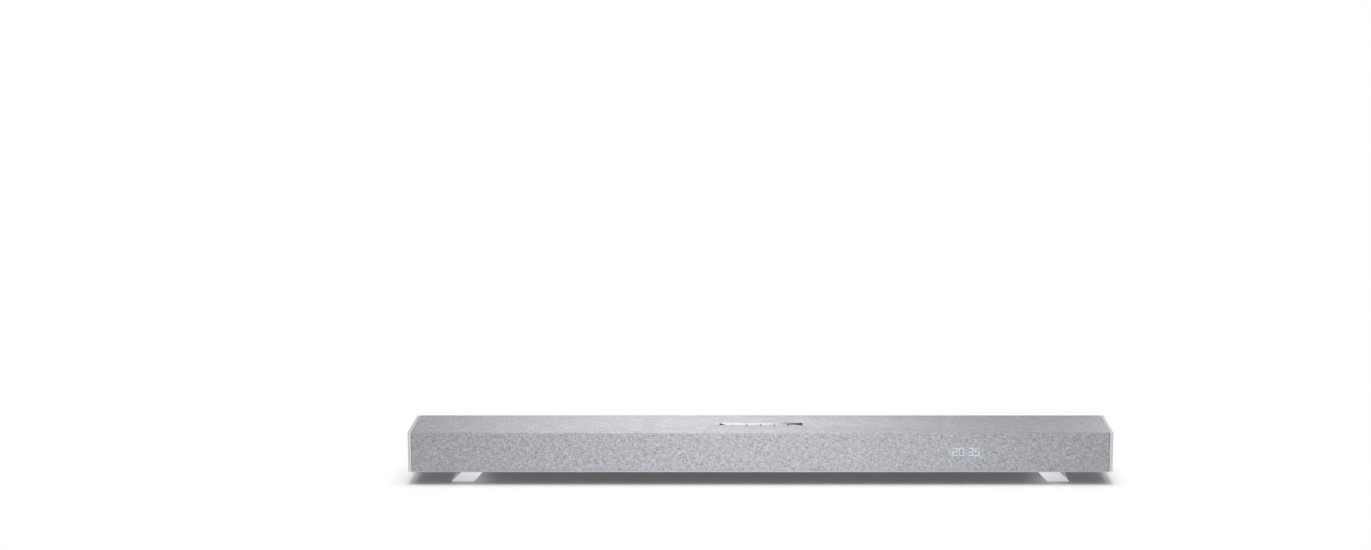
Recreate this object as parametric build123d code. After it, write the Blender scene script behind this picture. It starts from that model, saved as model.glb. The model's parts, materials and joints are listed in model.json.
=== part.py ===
"""A low fabric-covered soundbar on two splayed sled feet, as separate pieces.

Millimetres, +Z up. The origin is on the floor, under the middle of the bar.
+X runs along the bar and the front faces -Y.
"""

from build123d import *
import math
import os

# Outside of the bar
LENGTH = 1000.0
DEPTH = 110.0
BODY_HEIGHT = 57.5
FOOT_HEIGHT = 18.0
CORNER_R = 3.0
CAP_THICK = 4.7
CAP_GAP = 0.5

# Skins
FABRIC_THICK = 1.0
GRILLE_WALL = 2.0
WALL = 2.5
FIT_GAP = 0.1
EDGE_TRIM = 1.4

# Control strip in the top
STRIP_LENGTH = 120.0
STRIP_WIDTH = 21.0
STRIP_Y = -4.5
STRIP_CORNER_R = 1.5
BEZEL_WALL = 1.2
BEZEL_SLOPE = 0.9
BEZEL_FRONT_SUNK = 0.5
RIB_THICK = 0.8
RIB_SUNK = 0.6
KEY_GAP = 0.3
KEY_SUNK = 0.4
KEY_DROP = 2.2
SWITCH_STACK = 3.6
KEY_NAMES = ("power", "source", "volume_down", "volume_up", "play", "pairing")

# Drivers: the long axis, the short axis and the place of each one's centre
FRONT_DRIVER_LENGTH = 96.0
FRONT_DRIVER_HEIGHT = 44.0
UP_DRIVER_DIAMETER = 57.0
DRIVER_X = 410.0
UP_DRIVER_Y = 17.0
FLANGE_THICK = 2.5
FLANGE_RING = 3.0
SURROUND_WIDTH = 4.5
TUB_DEPTH = 12.0
MAGNET_DEPTH = 14.0
MAGNET_R = 17.5
COIL_R = 9.5
CONE_DEPTH = 6.0
CONE_GAP = 0.4
TWEETER_X = 338.0
TWEETER_R = 16.5

# Display behind the front fabric
DISPLAY_X = 291.5
DISPLAY_Z = 47.5
DISPLAY_WIDTH = 46.0
DISPLAY_HEIGHT = 18.0
DIGIT_WIDTH = 7.2
DIGIT_HEIGHT = 12.0
DIGIT_STROKE = 1.3
DIGIT_PITCH = 9.0
COLON_WIDTH = 4.2
CLOCK = "20:35"
RECEIVER_X = 250.0

# Feet
FOOT_INNER_X = 409.9
FOOT_WIDTH = 31.5
FOOT_LENGTH = 82.0
FOOT_SPLAY = 44.0
FOOT_EDGE_R = 0.3
LEG_SCREW_INSET = 7.7
LEG_SCREW_END = 6.0
GASKET_THICK = 1.2
PAD_PROUD = 0.4
PAD_THICK = 1.5
PAD_INSET = 4.0

# Rear interfaces
BAY_X0 = -30.0
BAY_X1 = 110.0
BAY_Z0 = 24.0
BAY_Z1 = 50.0
BAY_DEPTH = 18.5
INLET_X = -290.0
INLET_Z = 45.0
INLET_WIDTH = 28.0
INLET_HEIGHT = 18.0
INSERT_X = 350.0
INSERT_Z = 46.0
INSERT_R = 3.5
INSERT_BORE_R = 1.65
INSERT_LENGTH = 12.0
AUX_BORE_R = 1.8

# Slots in the carrier and vents in the case
SLOT_PITCH = 7.0
SLOT_WIDTH = 4.6
VENT_PITCH = 7.0
VENT_WIDTH = 3.0
REAR_VENTS = 15
FLOOR_VENTS = 14

# Fasteners
SCREW_R = 1.5
SCREW_HEAD_R = 2.8
SCREW_HEAD_THICK = 1.6
BOSS_R = 3.5
FRONT_BOSS_X = (-480.0, -250.0, -70.0, 70.0, 250.0, 480.0)
REAR_BOSS_X = (-480.0, -240.0, -70.0, 150.0, 300.0, 480.0)

# Levels and planes that follow from the sizes above
FRONT = -DEPTH / 2
BACK = DEPTH / 2
BOTTOM = FOOT_HEIGHT
TOP = FOOT_HEIGHT + BODY_HEIGHT
SIDE = LENGTH / 2 - CAP_THICK - CAP_GAP
FABRIC_BACK = FRONT + FABRIC_THICK
GRILLE_BACK = FABRIC_BACK + GRILLE_WALL
GRILLE_TOP = TOP - FABRIC_THICK
GRILLE_UNDER = GRILLE_TOP - GRILLE_WALL + 0.2
REAR_INNER = BACK - WALL
SKIN_END = REAR_INNER - FIT_GAP
FLOOR_TOP = BOTTOM + WALL
BAFFLE_FRONT = FRONT + 8.0
BAFFLE_BACK = BAFFLE_FRONT + WALL
TOP_BAFFLE_TOP = TOP - 8.0
TOP_BAFFLE_UNDER = TOP_BAFFLE_TOP - WALL
DRIVER_Z = 45.5
BAY_END = BACK - BAY_DEPTH
BOARD_Z = 25.0
BOARD_THICK = 1.6
BOARD_TOP = BOARD_Z + BOARD_THICK
CONTROL_BOARD_Z = TOP - 12.0
STRIP_HALF = STRIP_LENGTH / 2 - BEZEL_WALL
STRIP_FRONT = STRIP_Y - STRIP_WIDTH / 2 + BEZEL_WALL
STRIP_BACK = STRIP_Y + STRIP_WIDTH / 2 - BEZEL_WALL
KEY_TOP = TOP - KEY_SUNK
KEY_UNDER = CONTROL_BOARD_Z + BOARD_THICK + SWITCH_STACK
LEG_X = FOOT_INNER_X + LEG_SCREW_INSET
LEG_Y = FOOT_LENGTH / 2 - LEG_SCREW_END
BOSS_FRONT_Y = BAFFLE_BACK + BOSS_R
BOSS_REAR_Y = REAR_INNER - BOSS_R

nodes = {}


def block(x0, x1, y0, y1, z0, z1):
    """A box between two corners."""
    middle = Pos((x0 + x1) / 2, (y0 + y1) / 2, (z0 + z1) / 2)
    return middle * Box(x1 - x0, y1 - y0, z1 - z0)


def upright(x, y, z0, z1, radius):
    """A round bar along Z."""
    return Pos(x, y, (z0 + z1) / 2) * Cylinder(radius, z1 - z0)


def along_y(x, z, y0, y1, radius):
    """A round bar along Y."""
    return Pos(x, (y0 + y1) / 2, z) * Rot(90, 0, 0) * Cylinder(radius, y1 - y0)


def rolled_prism(half, front, back, bottom, top, radius):
    """A long block with its front top edge rolled over."""
    solid = block(-half, half, front, back, bottom, top)
    edges = solid.edges().filter_by(Axis.X)
    rolled = edges.sort_by(lambda e: e.center().Z - e.center().Y)[-1]
    return fillet(rolled, radius)


def strip_hole(grow, z0, z1):
    """The upright hole for the control strip, grown by a clearance on every side."""
    outline = RectangleRounded(STRIP_LENGTH + 2 * grow, STRIP_WIDTH + 2 * grow,
                               STRIP_CORNER_R + grow)
    return extrude(Pos(0, STRIP_Y, z0) * outline, z1 - z0)


def stadium(length, width):
    """A racetrack outline, or a circle where both sides are equal."""
    if length - width < 1e-6:
        return Circle(width / 2)
    return SlotOverall(length, width)


def stadium_bar(length, width, z0, z1):
    """A racetrack bar along Z."""
    return extrude(Pos(0, 0, z0) * stadium(length, width), z1 - z0)


def keep(name, *solids):
    """Files a piece under its node name. Several solids make a group."""
    nodes[name] = solids[0] if len(solids) == 1 else Compound(list(solids))


# ---------------------------------------------------------------- housing


def make_fabric_cover():
    """Woven cloth over the front and the top, with a hole for the control strip."""
    outer = rolled_prism(SIDE, FRONT, SKIN_END, BOTTOM + EDGE_TRIM, TOP, CORNER_R)
    inner = rolled_prism(LENGTH, FABRIC_BACK, DEPTH, 0, GRILLE_TOP, CORNER_R - FABRIC_THICK)
    keep("fabric_cover", outer - inner - strip_hole(FIT_GAP, TOP_BAFFLE_TOP, TOP + 1))


def make_grille_frame():
    """The slotted carrier that the cloth is stretched over."""
    frame = rolled_prism(SIDE, FABRIC_BACK, SKIN_END, BOTTOM, GRILLE_TOP, CORNER_R - FABRIC_THICK)
    frame -= rolled_prism(LENGTH, GRILLE_BACK, DEPTH, 0, GRILLE_UNDER, 0.5)
    frame += block(-SIDE, SIDE, FRONT, GRILLE_BACK, BOTTOM, BOTTOM + EDGE_TRIM - FIT_GAP)
    for middle in (-DRIVER_X, 0, DRIVER_X):
        for i in range(13):
            x = middle + (i - 6) * SLOT_PITCH
            slot_half = 17 if abs(i - 6) < 6 else 12
            slot = block(x, x + SLOT_WIDTH, FRONT - 1, GRILLE_BACK + 1, DRIVER_Z - slot_half,
                         DRIVER_Z + slot_half)
            frame -= Pos(-SLOT_WIDTH / 2, 0, 0) * slot
    for side in (-1, 1):
        for i in range(4):
            z = DRIVER_Z + (i - 1.5) * 6.5
            half = 12 if i in (1, 2) else 9
            x = side * TWEETER_X
            frame -= block(x - half, x + half, FRONT - 1, GRILLE_BACK + 1, z - 2, z + 2)
        for i in range(7):
            x = side * DRIVER_X + (i - 3) * SLOT_PITCH
            half = math.sqrt(25**2 - (x - side * DRIVER_X) ** 2)
            frame -= block(x - SLOT_WIDTH / 2, x + SLOT_WIDTH / 2, UP_DRIVER_Y - half,
                           UP_DRIVER_Y + half, GRILLE_UNDER - 1, GRILLE_TOP + 0.5)
    frame -= block(DISPLAY_X - DISPLAY_WIDTH / 2 - 2, DISPLAY_X + DISPLAY_WIDTH / 2 + 2, FRONT - 1,
                   GRILLE_BACK + 1, DISPLAY_Z - DISPLAY_HEIGHT / 2 - 1,
                   DISPLAY_Z + DISPLAY_HEIGHT / 2 + 1)
    frame -= along_y(RECEIVER_X, DRIVER_Z, FRONT - 1, GRILLE_BACK + 1, 3.2)
    keep("grille_frame", frame - strip_hole(FIT_GAP, TOP_BAFFLE_TOP, TOP + 1))


def make_bottom_chassis():
    """The floor of the case, with stiffening ribs, feet bosses and screw holes."""
    floor = block(-SIDE, SIDE, GRILLE_BACK + FIT_GAP, SKIN_END, BOTTOM, FLOOR_TOP)
    for x in (-150, 150, 330, -348):
        floor += block(x - 1, x + 1, -16, 28, FLOOR_TOP - 0.5, BOARD_Z - 1)
    for x in FRONT_BOSS_X:
        floor -= upright(x, BOSS_FRONT_Y, BOTTOM - 1, FLOOR_TOP + 1, SCREW_R + 0.2)
        floor -= upright(x, BOSS_FRONT_Y, BOTTOM - 1, BOTTOM + SCREW_HEAD_THICK, SCREW_HEAD_R + 0.2)
    for x in REAR_BOSS_X:
        floor -= upright(x, BOSS_REAR_Y, BOTTOM - 1, FLOOR_TOP + 1, SCREW_R + 0.2)
        floor -= upright(x, BOSS_REAR_Y, BOTTOM - 1, BOTTOM + SCREW_HEAD_THICK, SCREW_HEAD_R + 0.2)
    for side in (-1, 1):
        for y in (-LEG_Y, LEG_Y):
            floor += upright(side * LEG_X, y, FLOOR_TOP - 0.5, FLOOR_TOP + 2, BOSS_R + 1)
            floor -= upright(side * LEG_X, y, BOTTOM - 1, FLOOR_TOP + 3, SCREW_R)
    for x0, x1, y0, y1 in ((-330, -190, -13, 28), (-50, 130, -13, 30)):
        for x in (x0, x1):
            for y in (y0, y1):
                floor += upright(x, y, FLOOR_TOP - 0.5, BOARD_Z, 3)
    for start in (-240, 150):
        for i in range(FLOOR_VENTS):
            x = start + i * VENT_PITCH
            floor -= block(x, x + VENT_WIDTH, -30, -20, BOTTOM - 1, FLOOR_TOP + 1)
    keep("bottom_chassis", floor)


def make_rear_panel():
    """The back wall, with the socket bay, vents, inlet hole and screw bosses."""
    panel = block(-SIDE, SIDE, REAR_INNER, BACK, BOTTOM, TOP)
    outer = panel.edges().filter_by(Axis.X).sort_by(lambda e: e.center().Y)[-2:]
    panel = fillet(outer, WALL - 0.3)
    panel += block(BAY_X0 - 2, BAY_X1 + 2, BAY_END, REAR_INNER, BAY_Z0 - 2, BAY_Z1 + 2)
    panel -= block(BAY_X0, BAY_X1, BAY_END - 1, BACK + 1, BAY_Z0, BAY_Z1)
    panel -= block(INLET_X - INLET_WIDTH / 2 - FIT_GAP, INLET_X + INLET_WIDTH / 2 + FIT_GAP,
                   REAR_INNER - 1, BACK + 1, INLET_Z - INLET_HEIGHT / 2 - FIT_GAP,
                   INLET_Z + INLET_HEIGHT / 2 + FIT_GAP)
    for side in (-1, 1):
        panel += along_y(side * INSERT_X, INSERT_Z, BACK - INSERT_LENGTH - 2, REAR_INNER + 1, 6)
        panel -= along_y(side * INSERT_X, INSERT_Z, BACK - INSERT_LENGTH, BACK + 1, INSERT_R)
    for x in REAR_BOSS_X:
        boss = upright(x, BOSS_REAR_Y, FLOOR_TOP, FLOOR_TOP + 10, BOSS_R)
        panel += boss + block(x - 1.5, x + 1.5, BOSS_REAR_Y, REAR_INNER + 1, FLOOR_TOP, FLOOR_TOP + 10)
        panel -= upright(x, BOSS_REAR_Y, FLOOR_TOP - 1, FLOOR_TOP + 8, SCREW_R)
    for start in (-235, 165):
        for i in range(REAR_VENTS):
            x = start + i * VENT_PITCH
            panel -= block(x, x + VENT_WIDTH, REAR_INNER - 1, BACK + 1, 36, 60)
    keep("rear_panel", panel)


def make_end_cap(side):
    """A shallow dish that closes one end of the bar."""
    outline = Pos(0, BOTTOM + BODY_HEIGHT / 2) * RectangleRounded(DEPTH, BODY_HEIGHT, CORNER_R)
    cap = extrude(Plane.YZ.offset(LENGTH / 2 - CAP_THICK) * outline, CAP_THICK)
    rim = cap.faces().sort_by(Axis.X)[-1].edges()
    cap = fillet(rim, 1.4)
    hollow = Pos(0, BOTTOM + BODY_HEIGHT / 2) * RectangleRounded(DEPTH - 6, BODY_HEIGHT - 6, 1.5)
    cap -= extrude(Plane.YZ.offset(LENGTH / 2 - CAP_THICK - 1) * hollow, CAP_THICK - 1)
    for y in (-30, 30):
        for z in (BOTTOM + 14, TOP - 14):
            peg = Pos(LENGTH / 2 - 4, y, z) * Rot(0, 90, 0) * Cylinder(3, 4)
            cap += peg
    return cap if side > 0 else cap.mirror(Plane.YZ)


def make_front_baffle():
    """The inner wall that the front drivers are screwed to."""
    baffle = block(-SIDE + 2, SIDE - 2, BAFFLE_FRONT, BAFFLE_BACK, FLOOR_TOP + FIT_GAP,
                   GRILLE_UNDER - FIT_GAP)
    opening = stadium_bar(FRONT_DRIVER_LENGTH - 8, FRONT_DRIVER_HEIGHT - 8, -5, 5)
    for x in (-DRIVER_X, 0, DRIVER_X):
        baffle -= Pos(x, BAFFLE_FRONT + 1, DRIVER_Z) * Rot(90, 0, 0) * opening
    for side in (-1, 1):
        baffle -= along_y(side * TWEETER_X, DRIVER_Z, BAFFLE_FRONT - 1, BAFFLE_BACK + 1, TWEETER_R - 3)
    baffle -= block(DISPLAY_X - DISPLAY_WIDTH / 2 - 0.5, DISPLAY_X + DISPLAY_WIDTH / 2 + 0.5,
                    BAFFLE_FRONT - 1, BAFFLE_BACK + 1, DISPLAY_Z - DISPLAY_HEIGHT / 2 - 0.5,
                    DISPLAY_Z + DISPLAY_HEIGHT / 2 + 0.5)
    baffle -= along_y(RECEIVER_X, DRIVER_Z, BAFFLE_FRONT - 1, BAFFLE_BACK + 1, 3)
    for x in FRONT_BOSS_X:
        boss = upright(x, BOSS_FRONT_Y, FLOOR_TOP + FIT_GAP, FLOOR_TOP + 10, BOSS_R)
        web = block(x - 1.5, x + 1.5, BAFFLE_BACK - 1, BOSS_FRONT_Y, FLOOR_TOP + FIT_GAP, FLOOR_TOP + 10)
        baffle += boss + web
        baffle -= upright(x, BOSS_FRONT_Y, FLOOR_TOP - 1, FLOOR_TOP + 8, SCREW_R)
    keep("front_baffle", baffle)


def make_top_baffle():
    """The inner deck that holds the two upward drivers."""
    deck = block(-SIDE + 2, SIDE - 2, BAFFLE_BACK + FIT_GAP, SKIN_END, TOP_BAFFLE_UNDER, TOP_BAFFLE_TOP)
    for side in (-1, 1):
        deck -= upright(side * DRIVER_X, UP_DRIVER_Y, TOP_BAFFLE_UNDER - 1, TOP_BAFFLE_TOP + 1,
                        UP_DRIVER_DIAMETER / 2 - 4)
    deck -= block(-STRIP_LENGTH / 2 - 8, STRIP_LENGTH / 2 + 8, STRIP_Y - 16, STRIP_Y + 16,
                  TOP_BAFFLE_UNDER - 1, TOP_BAFFLE_TOP + 1)
    keep("top_baffle", deck)


# ---------------------------------------------------------------- feet


def splayed_bar(low, high, grow=0.0, length=FOOT_LENGTH):
    """A leaning parallelogram bar for the right foot, between two levels."""
    lean = math.tan(math.radians(FOOT_SPLAY))
    points = []
    for x, z in ((-grow, low), (FOOT_WIDTH + grow, low), (FOOT_WIDTH + grow, high), (-grow, high)):
        points.append((FOOT_INNER_X + x - lean * z, z))
    face = make_face(Polyline(*points, close=True))
    return extrude(Plane.XZ.offset(-length / 2) * face, length)


def make_feet():
    """Two leaning solid sleds, with a gasket above, a pad below and two screws in each."""
    leg_top = BOTTOM - GASKET_THICK
    foot = splayed_bar(PAD_PROUD, leg_top)
    foot = fillet(foot.edges().filter_by(Axis.Y).sort_by(Axis.Z)[:2], FOOT_EDGE_R)
    gasket = splayed_bar(leg_top, BOTTOM, -1.0, FOOT_LENGTH - 2)
    pad = splayed_bar(0, PAD_THICK, -PAD_INSET, FOOT_LENGTH - 2 * PAD_INSET)
    foot -= pad
    screws = []
    for y in (-LEG_Y, LEG_Y):
        foot -= upright(LEG_X, y, -1, leg_top - 5, SCREW_HEAD_R + 0.3)
        foot -= upright(LEG_X, y, 0, leg_top + 1, SCREW_R + 0.2)
        pad -= upright(LEG_X, y, -1, PAD_THICK + 1, SCREW_HEAD_R + 0.3)
        gasket -= upright(LEG_X, y, leg_top - 1, BOTTOM + 1, SCREW_R + 0.2)
        head = upright(LEG_X, y, leg_top - 5 - 2, leg_top - 5, SCREW_HEAD_R)
        screws.append(head + upright(LEG_X, y, leg_top - 5, FLOOR_TOP + 1.5, SCREW_R))
    keep("right_foot", foot)
    keep("left_foot", foot.mirror(Plane.YZ))
    keep("foot_gaskets", gasket, gasket.mirror(Plane.YZ))
    keep("foot_pads", pad, pad.mirror(Plane.YZ))
    keep("foot_screws", *screws, *[screw.mirror(Plane.YZ) for screw in screws])


# ---------------------------------------------------------------- controls


def key_cells():
    """The left edge and the width of each key's cell between the ribs."""
    inner = 2 * STRIP_HALF
    cell = (inner - (len(KEY_NAMES) - 1) * RIB_THICK) / len(KEY_NAMES)
    return [(-inner / 2 + i * (cell + RIB_THICK), cell) for i in range(len(KEY_NAMES))]


def make_control_bezel():
    """The polished frame round the keys, with a thin rib between each two."""
    bezel = strip_hole(0, KEY_UNDER, TOP)
    flange_top = GRILLE_UNDER - FIT_GAP
    bezel += strip_hole(3, flange_top - 1, flange_top)
    for x, width in key_cells():
        bezel -= block(x, x + width, STRIP_FRONT, STRIP_BACK, KEY_UNDER - 1, TOP + 1)
    for x in (-STRIP_LENGTH / 2 - 1, STRIP_LENGTH / 2 + 1):
        for y in (STRIP_Y - 8, STRIP_Y + 8):
            bezel += upright(x, y, CONTROL_BOARD_Z + BOARD_THICK, flange_top - 0.5, 1.8)
    bezel -= block(-STRIP_HALF, STRIP_HALF, STRIP_FRONT, STRIP_BACK, TOP - RIB_SUNK, TOP + 1)
    bezel -= block(-STRIP_LENGTH, STRIP_LENGTH, STRIP_FRONT - STRIP_WIDTH, STRIP_FRONT,
                   TOP - BEZEL_FRONT_SUNK, TOP + 1)
    key_back = KEY_TOP - KEY_DROP
    slope = make_face(Polyline((STRIP_BACK - 1, key_back), (STRIP_BACK, key_back),
                               (STRIP_BACK + BEZEL_SLOPE, TOP), (STRIP_BACK + BEZEL_SLOPE, TOP + 1),
                               (STRIP_BACK - 1, TOP + 1), close=True))
    bezel -= extrude(Plane.YZ.offset(-STRIP_HALF) * slope, 2 * STRIP_HALF)
    keep("control_bezel", bezel)


def make_keys():
    """Six wedge-topped keys, flush in front and sunk at the back of the strip."""
    y0 = STRIP_FRONT + KEY_GAP
    y1 = STRIP_BACK - KEY_GAP
    for name, (x, width) in zip(KEY_NAMES, key_cells()):
        side = make_face(Polyline((y0, KEY_UNDER), (y1, KEY_UNDER), (y1, KEY_TOP - KEY_DROP),
                                  (y0, KEY_TOP), close=True))
        key = extrude(Plane.YZ.offset(x + KEY_GAP) * side, width - 2 * KEY_GAP)
        key = fillet(key.faces().sort_by(Axis.Z)[-1].edges(), 0.3)
        hollow = block(x + 2, x + width - 2, y0 + 1.7, y1 - 1.7, KEY_UNDER - 1, KEY_UNDER + 2)
        stem = upright(x + width / 2, STRIP_Y, KEY_UNDER, KEY_UNDER + 3, 2)
        keep(name + "_key", key - hollow + stem)


def make_control_board():
    """The board under the keys, its switches and the rubber mat over them."""
    top = CONTROL_BOARD_Z + BOARD_THICK
    board = block(-STRIP_LENGTH / 2 - 5, STRIP_LENGTH / 2 + 5, STRIP_Y - 12, STRIP_Y + 12,
                  CONTROL_BOARD_Z, top)
    keep("control_board", board)
    mat = block(-STRIP_LENGTH / 2 + 2, STRIP_LENGTH / 2 - 2, STRIP_Y - 6.5, STRIP_Y + 6.5, top, top + 2.2)
    switches = []
    for x, width in key_cells():
        middle = x + width / 2
        switch = block(middle - 3, middle + 3, STRIP_Y - 3, STRIP_Y + 3, top, top + 1)
        switch += upright(middle, STRIP_Y, top + 0.5, top + 1.4, 1.5)
        switches.append(switch)
        mat += upright(middle, STRIP_Y, top + 2, top + 2.7, 3)
        mat -= block(middle - 3.3, middle + 3.3, STRIP_Y - 3.3, STRIP_Y + 3.3, top - 1, top + 1.6)
    keep("tact_switches", *switches)
    keep("key_mat", mat)
    ribbon = block(-46, -34, 8.2, 8.6, BOARD_TOP + 1, CONTROL_BOARD_Z - 0.2)
    foot = block(-46, -34, 3, 8.6, BOARD_TOP + 0.6, BOARD_TOP + 1)
    head = block(-46, -34, 3, 8.6, CONTROL_BOARD_Z - 0.4, CONTROL_BOARD_Z)
    keep("control_ribbon", ribbon + foot + head)


# ---------------------------------------------------------------- drivers


def driver_pieces(length, width):
    """A driver firing along +Z, with its flange's back face at zero."""
    hole_l = length - 2 * FLANGE_RING
    hole_w = width - 2 * FLANGE_RING
    tub = stadium_bar(length - 10, width - 10, -TUB_DEPTH, 0.5)
    tub -= stadium_bar(length - 14, width - 14, -TUB_DEPTH + 2, 1)
    tub -= upright(0, 0, -TUB_DEPTH - 1, -TUB_DEPTH + 3, COIL_R + 1.5)
    for side in (-1, 1):
        if length > width:
            tub -= block(side * length / 4 - 9, side * length / 4 + 9, -width / 4, width / 4,
                         -TUB_DEPTH - 1, -TUB_DEPTH + 3)
        tub -= block(-5, 5, side * (width / 2 - 7) - 2, side * (width / 2 - 7) + 4, -8, -2)
    flange = stadium_bar(length, width, 0, FLANGE_THICK) - stadium_bar(hole_l, hole_w, -1, FLANGE_THICK + 1)
    seat = stadium_bar(length - 1, width - 1, 0, 0.8) - stadium_bar(hole_l - 8, hole_w - 8, -1, 2)
    frame = flange + seat + tub
    magnet = upright(0, 0, -TUB_DEPTH - MAGNET_DEPTH, -TUB_DEPTH, MAGNET_R)
    gap = upright(0, 0, -TUB_DEPTH - MAGNET_DEPTH + 3, -TUB_DEPTH + 1, COIL_R + 1)
    magnet -= gap - upright(0, 0, -TUB_DEPTH - MAGNET_DEPTH, -TUB_DEPTH + 1, COIL_R - 1.6)
    inner_l = hole_l - 2 * SURROUND_WIDTH
    inner_w = hole_w - 2 * SURROUND_WIDTH
    surround = stadium_bar(hole_l, hole_w, 0.8, 3.3)
    surround = fillet(surround.faces().sort_by(Axis.Z)[-1].edges(), 2)
    surround -= stadium_bar(inner_l, inner_w, 0, 4)
    roll_under = stadium_bar(inner_l + 3.4, inner_w + 3.4, 0, 2.2)
    surround -= roll_under - stadium_bar(inner_l + 1, inner_w + 1, 0, 3)
    cone_l = inner_l - 2 * CONE_GAP
    cone_w = inner_w - 2 * CONE_GAP
    cone = extrude(Pos(0, 0, 2) * stadium(cone_l, cone_w), -CONE_DEPTH, taper=25)
    dish = extrude(Pos(0, 0, 2.2) * stadium(cone_l - 2, cone_w - 2), -CONE_DEPTH + 1, taper=25)
    cone = cone - dish
    cone += upright(0, 0, -CONE_DEPTH + 1.5, 0, COIL_R - 1.2)
    coil = upright(0, 0, -TUB_DEPTH - 6, -3.5, COIL_R) - upright(0, 0, -TUB_DEPTH - 7, -4.4, COIL_R - 1)
    return frame, magnet, surround, cone + coil


def make_drivers():
    """Three racetrack drivers in the front and two round ones in the top."""
    facing = Rot(90, 0, 0)
    places = {}
    for name, x in (("left_front", -DRIVER_X), ("centre_front", 0.0), ("right_front", DRIVER_X)):
        places[name] = (Pos(x, BAFFLE_FRONT, DRIVER_Z) * facing, FRONT_DRIVER_LENGTH, FRONT_DRIVER_HEIGHT)
    for name, x in (("left_up", -DRIVER_X), ("right_up", DRIVER_X)):
        places[name] = (Pos(x, UP_DRIVER_Y, TOP_BAFFLE_TOP), UP_DRIVER_DIAMETER, UP_DRIVER_DIAMETER)
    surrounds = {"front": [], "up": []}
    magnets = {"front": [], "up": []}
    for name, (place, length, width) in places.items():
        frame, magnet, surround, cone = driver_pieces(length, width)
        keep(name + "_driver_frame", place * frame)
        keep(name + "_cone", place * cone)
        group = name.split("_")[1]
        surrounds[group].append(place * surround)
        magnets[group].append(place * magnet)
    for group in ("front", "up"):
        keep(group + "_surrounds", *surrounds[group])
        keep(group + "_magnets", *magnets[group])
    for side, name in ((-1, "left_tweeter"), (1, "right_tweeter")):
        x = side * TWEETER_X
        plate = along_y(x, DRIVER_Z, BAFFLE_FRONT - 2, BAFFLE_FRONT, TWEETER_R)
        plate -= Pos(x, BAFFLE_FRONT - 2, DRIVER_Z) * Rot(90, 0, 0) * Cone(8, 12, 2.4)
        dome = Pos(x, BAFFLE_FRONT + 4, DRIVER_Z) * Sphere(7.5)
        body = along_y(x, DRIVER_Z, BAFFLE_FRONT - 0.5, BAFFLE_FRONT + 14, TWEETER_R - 4)
        keep(name, plate + dome + body)


# ---------------------------------------------------------------- display


def segments(digit):
    """The lit bars of a seven-bar digit, as x, z, width and height in its cell."""
    lit = {"0": "abcdef", "2": "abged", "3": "abgcd", "5": "afgcd"}[digit]
    w = DIGIT_WIDTH
    h = DIGIT_HEIGHT
    s = DIGIT_STROKE
    bars = {
        "a": (0, h - s, w, s), "b": (w - s, h / 2 + 0.4, s, h / 2 - s - 0.6),
        "c": (w - s, s + 0.2, s, h / 2 - s - 0.6), "d": (0, 0, w, s),
        "e": (0, s + 0.2, s, h / 2 - s - 0.6), "f": (0, h / 2 + 0.4, s, h / 2 - s - 0.6),
        "g": (0, h / 2 - s / 2 + 0.1, w, s - 0.4),
    }
    return [bars[name] for name in lit]


def make_display():
    """A small clock display: board, lamp block, digits and a diffuser window."""
    z = DISPLAY_Z
    half = DISPLAY_WIDTH / 2
    high = DISPLAY_HEIGHT / 2
    front = BAFFLE_FRONT - 2.5
    keep("display_board", block(DISPLAY_X - half - 5, DISPLAY_X + half + 5, BAFFLE_BACK,
                                BAFFLE_BACK + BOARD_THICK, z - high - 4, z + high + 4))
    keep("display_module", block(DISPLAY_X - half, DISPLAY_X + half, front, BAFFLE_BACK, z - high, z + high))
    window = block(DISPLAY_X - half - 1.9, DISPLAY_X + half + 1.9, FABRIC_BACK + 0.1, front - 0.6,
                   z - high - 0.9, z + high + 0.9)
    keep("display_window", window)
    total = (len(CLOCK) - 1) * DIGIT_PITCH + COLON_WIDTH - (DIGIT_PITCH - DIGIT_WIDTH)
    x = DISPLAY_X - total / 2
    bars = []
    for mark in CLOCK:
        if mark == ":":
            for level in (0.3, 0.7):
                low = z - DIGIT_HEIGHT / 2 + DIGIT_HEIGHT * level - DIGIT_STROKE / 2
                dot = block(x + 0.6, x + 0.6 + DIGIT_STROKE, front - 0.3, front, low, low + DIGIT_STROKE)
                bars.append(dot)
            x += COLON_WIDTH
            continue
        for bx, bz, bw, bh in segments(mark):
            low = z - DIGIT_HEIGHT / 2 + bz
            bars.append(block(x + bx, x + bx + bw, front - 0.3, front, low, low + bh))
        x += DIGIT_PITCH
    keep("display_digits", *bars)
    eye = along_y(RECEIVER_X, DRIVER_Z, FABRIC_BACK + 0.4, BAFFLE_BACK + 1, 2.6)
    housing = block(RECEIVER_X - 4, RECEIVER_X + 4, BAFFLE_BACK, BAFFLE_BACK + 2, DRIVER_Z - 4, DRIVER_Z + 4)
    keep("infrared_receiver", eye + housing)


# ---------------------------------------------------------------- electronics


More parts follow.
